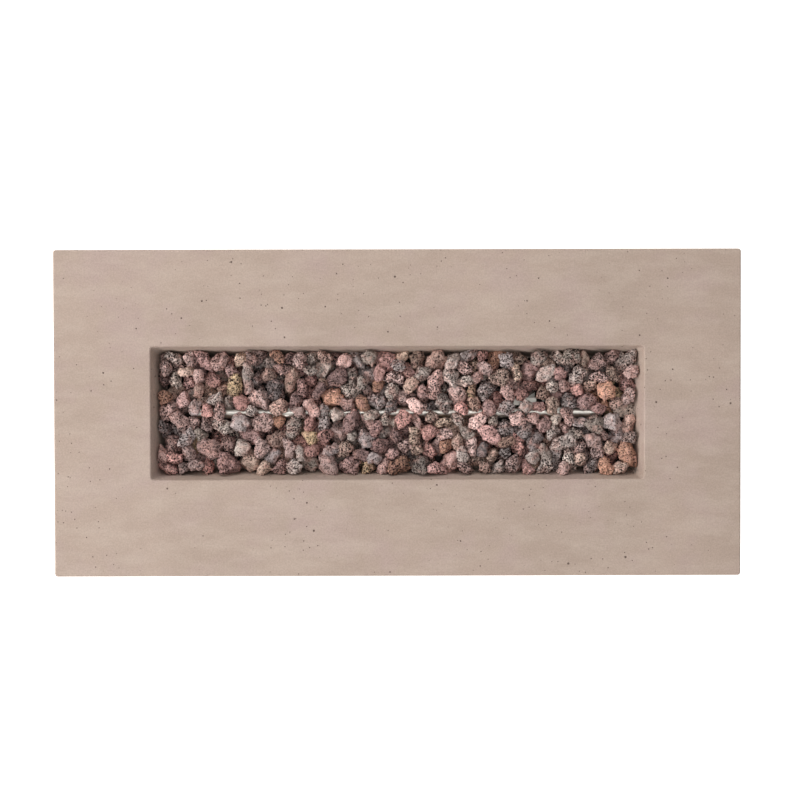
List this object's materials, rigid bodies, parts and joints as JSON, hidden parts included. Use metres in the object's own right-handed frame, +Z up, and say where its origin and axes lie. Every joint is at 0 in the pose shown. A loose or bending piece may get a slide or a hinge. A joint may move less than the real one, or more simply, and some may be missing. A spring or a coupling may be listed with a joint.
{
  "type": "fire pit table",
  "caption": "Low rectangular concrete fire table with a sloping fire well, lava rock over a tube burner, recessed controls, service door, vent and levelling feet.",
  "frame": {"origin": "on the ground, at the middle of the table's outline", "axes": "+X along the length towards the service door, +Y to the back, away from the controls, +Z up"},
  "size_m": [1.42, 0.676, 0.41],
  "materials": {
    "concrete": "matte",
    "stainless": "satin",
    "zinc_steel": "satin",
    "nylon": "matte",
    "fibre": "matte",
    "lava_pink": "matte",
    "lava_grey": "matte",
    "lava_ochre": "matte",
    "alumina": "matte",
    "brass": "satin",
    "cast_iron": "matte",
    "aluminium": "satin",
    "spring_steel": "satin",
    "copper_lead": "satin",
    "silicone": "matte",
    "powder_coat": "matte",
    "ferrite": "matte"
  },
  "bodies": {
    "table": {"concrete_shell": "concrete", "foot_inserts": "zinc_steel", "foot_lock_nuts": "zinc_steel", "pan_gasket": "fibre", "burner_pan": "stainless", "deck_screws": "stainless", "wall_screws": "zinc_steel", "burner_tube": "stainless", "burner_end_caps": "stainless", "burner_cradles": "cast_iron", "inlet_stub": "zinc_steel", "stub_lock_nut": "zinc_steel", "sensor_bracket": "stainless", "flame_hood": "stainless", "thermocouple_probe": "copper_lead", "electrode_insulator": "alumina", "spark_electrode": "spring_steel", "heat_shield": "zinc_steel", "shield_standoffs": "zinc_steel", "mixer_body": "brass", "gas_jet": "brass", "feed_tube": "aluminium", "supply_tube": "aluminium", "inlet_tube": "aluminium", "tube_nuts": "brass", "control_tray": "stainless", "panel_nuts": "zinc_steel", "valve_body": "aluminium", "magnet_unit": "brass", "knob_spring": "spring_steel", "igniter_body": "nylon", "button_spring": "spring_steel", "shutoff_body": "brass", "inlet_tray": "stainless", "bulkhead_fitting": "brass", "door_frame": "powder_coat", "hinge_pins": "zinc_steel", "door_magnet": "ferrite", "vent_grille": "powder_coat", "thermocouple_lead": "copper_lead", "spark_lead": "silicone", "lava_rocks_pink": "lava_pink", "lava_rocks_grey": "lava_grey", "lava_rocks_ochre": "lava_ochre"},
    "door": {"door_leaf": "powder_coat"},
    "knob_push_body": {"valve_plunger": "brass"},
    "knob_turn_body": {"valve_spindle": "brass", "control_knob": "nylon"},
    "button": {"igniter_button": "nylon"},
    "shutter": {"air_shutter": "aluminium"},
    "shutoff_handle": {"shutoff_stem": "brass", "shutoff_lever": "zinc_steel"},
    "pad_front_left": {"foot_pad_front_left": "nylon"},
    "stud_front_left": {"foot_stud_front_left": "zinc_steel"},
    "pad_back_left": {"foot_pad_back_left": "nylon"},
    "stud_back_left": {"foot_stud_back_left": "zinc_steel"},
    "pad_front_right": {"foot_pad_front_right": "nylon"},
    "stud_front_right": {"foot_stud_front_right": "zinc_steel"},
    "pad_back_right": {"foot_pad_back_right": "nylon"},
    "stud_back_right": {"foot_stud_back_right": "zinc_steel"}
  },
  "joints": [
    {"name": "door_hinge", "type": "hinge", "parent": "table", "child": "door", "pos_m": [0.7048, -0.1445, 0.18], "axis": [0, 0, -1], "range_deg": [0, 105]},
    {"name": "knob_push", "type": "slide", "parent": "table", "child": "knob_push_body", "axis": [0, 1, 0], "range_m": [0, 0.005], "stiffness_N_per_m": 800, "springref_m": -0.003, "deforming": ["knob_spring"]},
    {"name": "knob_turn", "type": "hinge", "parent": "knob_push_body", "child": "knob_turn_body", "pos_m": [0.52, -0.292, 0.221], "axis": [0, -1, 0], "range_deg": [0, 210]},
    {"name": "igniter_press", "type": "slide", "parent": "table", "child": "button", "axis": [0, 1, 0], "range_m": [0, 0.004], "stiffness_N_per_m": 900, "springref_m": -0.003, "deforming": ["button_spring"]},
    {"name": "air_shutter_turn", "type": "hinge", "parent": "table", "child": "shutter", "pos_m": [0, 0, 0.26], "axis": [0, 0, 1], "range_deg": [0, 45]},
    {"name": "shutoff_turn", "type": "hinge", "parent": "table", "child": "shutoff_handle", "pos_m": [0.52, 0.06, 0.11], "axis": [0, 0, 1], "range_deg": [0, 90]},
    {"name": "foot_travel_front_left", "type": "slide", "parent": "table", "child": "pad_front_left", "axis": [0, 0, -1], "range_m": [0, 0.02]},
    {"name": "foot_screw_front_left", "type": "hinge", "parent": "pad_front_left", "child": "stud_front_left", "pos_m": [-0.64, -0.268, 0.02], "axis": [0, 0, -1], "range_deg": [0, 4820]},
    {"name": "foot_travel_back_left", "type": "slide", "parent": "table", "child": "pad_back_left", "axis": [0, 0, -1], "range_m": [0, 0.02]},
    {"name": "foot_screw_back_left", "type": "hinge", "parent": "pad_back_left", "child": "stud_back_left", "pos_m": [-0.64, 0.268, 0.02], "axis": [0, 0, -1], "range_deg": [0, 4820]},
    {"name": "foot_travel_front_right", "type": "slide", "parent": "table", "child": "pad_front_right", "axis": [0, 0, -1], "range_m": [0, 0.02]},
    {"name": "foot_screw_front_right", "type": "hinge", "parent": "pad_front_right", "child": "stud_front_right", "pos_m": [0.64, -0.268, 0.02], "axis": [0, 0, -1], "range_deg": [0, 4820]},
    {"name": "foot_travel_back_right", "type": "slide", "parent": "table", "child": "pad_back_right", "axis": [0, 0, -1], "range_m": [0, 0.02]},
    {"name": "foot_screw_back_right", "type": "hinge", "parent": "pad_back_right", "child": "stud_back_right", "pos_m": [0.64, 0.268, 0.02], "axis": [0, 0, -1], "range_deg": [0, 4820]}
  ],
  "couplings": [
    {"joint": "foot_screw_front_left", "follows": "foot_travel_front_left", "rad_per_m": 4188.8},
    {"joint": "foot_screw_back_left", "follows": "foot_travel_back_left", "rad_per_m": 4188.8},
    {"joint": "foot_screw_front_right", "follows": "foot_travel_front_right", "rad_per_m": 4188.8},
    {"joint": "foot_screw_back_right", "follows": "foot_travel_back_right", "rad_per_m": 4188.8}
  ]
}
